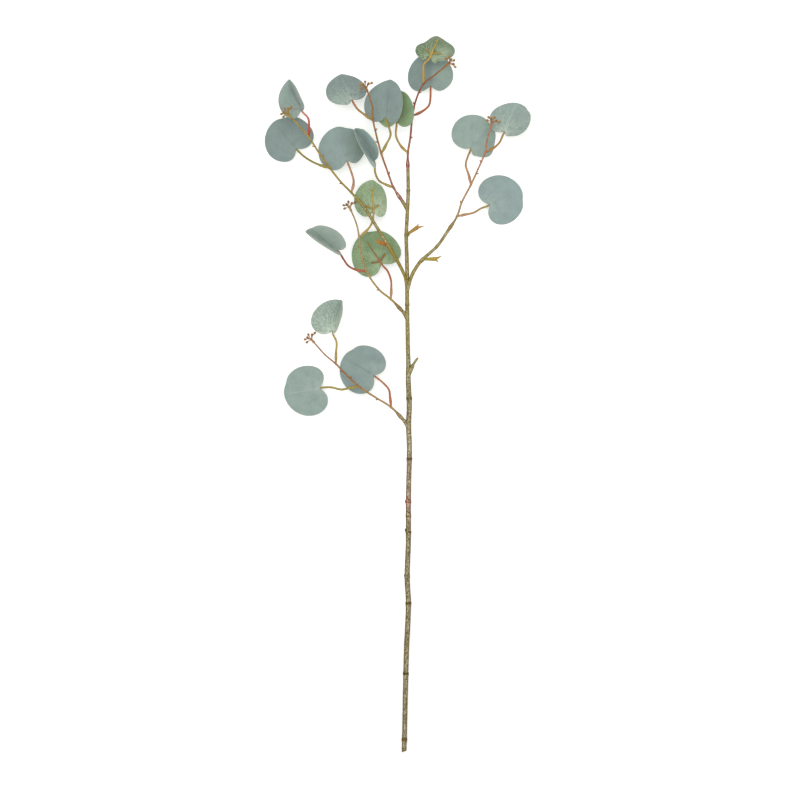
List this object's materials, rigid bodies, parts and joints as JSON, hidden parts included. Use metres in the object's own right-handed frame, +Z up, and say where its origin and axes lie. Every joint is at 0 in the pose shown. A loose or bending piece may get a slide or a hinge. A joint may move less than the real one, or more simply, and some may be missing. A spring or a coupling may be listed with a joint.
{
  "type": "artificial eucalyptus branch",
  "caption": "Artificial eucalyptus branch lying flat: slim forked stem, sleeve-jointed twigs, round notched leaves on ribbed stalks, and small bud clusters at the twig tips.",
  "frame": {"origin": "middle of the branch's outline seen from above, on the surface that it lies on", "axes": "+Y along the stem from the cut end to the tips, +X to the right seen from above, +Z up"},
  "size_m": [0.2658, 0.7168, 0.0471],
  "materials": {
    "stem": "moulded bark, olive brown with a grey-pink bloom",
    "twig": "moulded bark, olive to brick red",
    "stalk": "smooth moulded stalk, ochre to red",
    "bud": "small moulded buds, olive to brown",
    "bract": "smooth moulded bract, ochre",
    "leaf": "matt grained cloth, grey green in front and olive behind"
  },
  "bodies": {
    "root": {"main_stem": "stem", "bract_stem": "bract", "bract_left_arm": "bract", "bract_right_arm": "bract", "twig_lower_left": "twig", "buds_lower_left": "bud", "stalk_lower_left_1": "stalk", "leaf_lower_left_1": "leaf", "stalk_lower_left_2": "stalk", "leaf_lower_left_2": "leaf", "stalk_lower_left_3": "stalk", "leaf_lower_left_3": "leaf", "twig_middle_left": "twig", "buds_middle_left": "bud", "stalk_middle_left_1": "stalk", "leaf_middle_left_1": "leaf", "stalk_middle_left_2": "stalk", "leaf_middle_left_2": "leaf", "stalk_middle_left_3": "stalk", "leaf_middle_left_3": "leaf", "twig_upper_left": "twig", "buds_upper_left": "bud", "stalk_upper_left_1": "stalk", "leaf_upper_left_1": "leaf", "stalk_upper_left_2": "stalk", "leaf_upper_left_2": "leaf", "stalk_upper_left_3": "stalk", "leaf_upper_left_3": "leaf", "twig_right": "twig", "buds_right": "bud", "stalk_right_1": "stalk", "leaf_right_1": "leaf", "stalk_right_2": "stalk", "leaf_right_2": "leaf", "stalk_right_3": "stalk", "leaf_right_3": "leaf", "twig_upper_middle": "twig", "buds_upper_middle": "bud", "stalk_upper_middle_1": "stalk", "leaf_upper_middle_1": "leaf", "stalk_upper_middle_2": "stalk", "leaf_upper_middle_2": "leaf", "stalk_upper_middle_3": "stalk", "leaf_upper_middle_3": "leaf", "twig_top": "twig", "buds_top": "bud", "stalk_top_1": "stalk", "leaf_top_1": "leaf", "stalk_top_2": "stalk", "leaf_top_2": "leaf", "stalk_top_3": "stalk", "leaf_top_3": "leaf"}
  },
  "joints": []
}
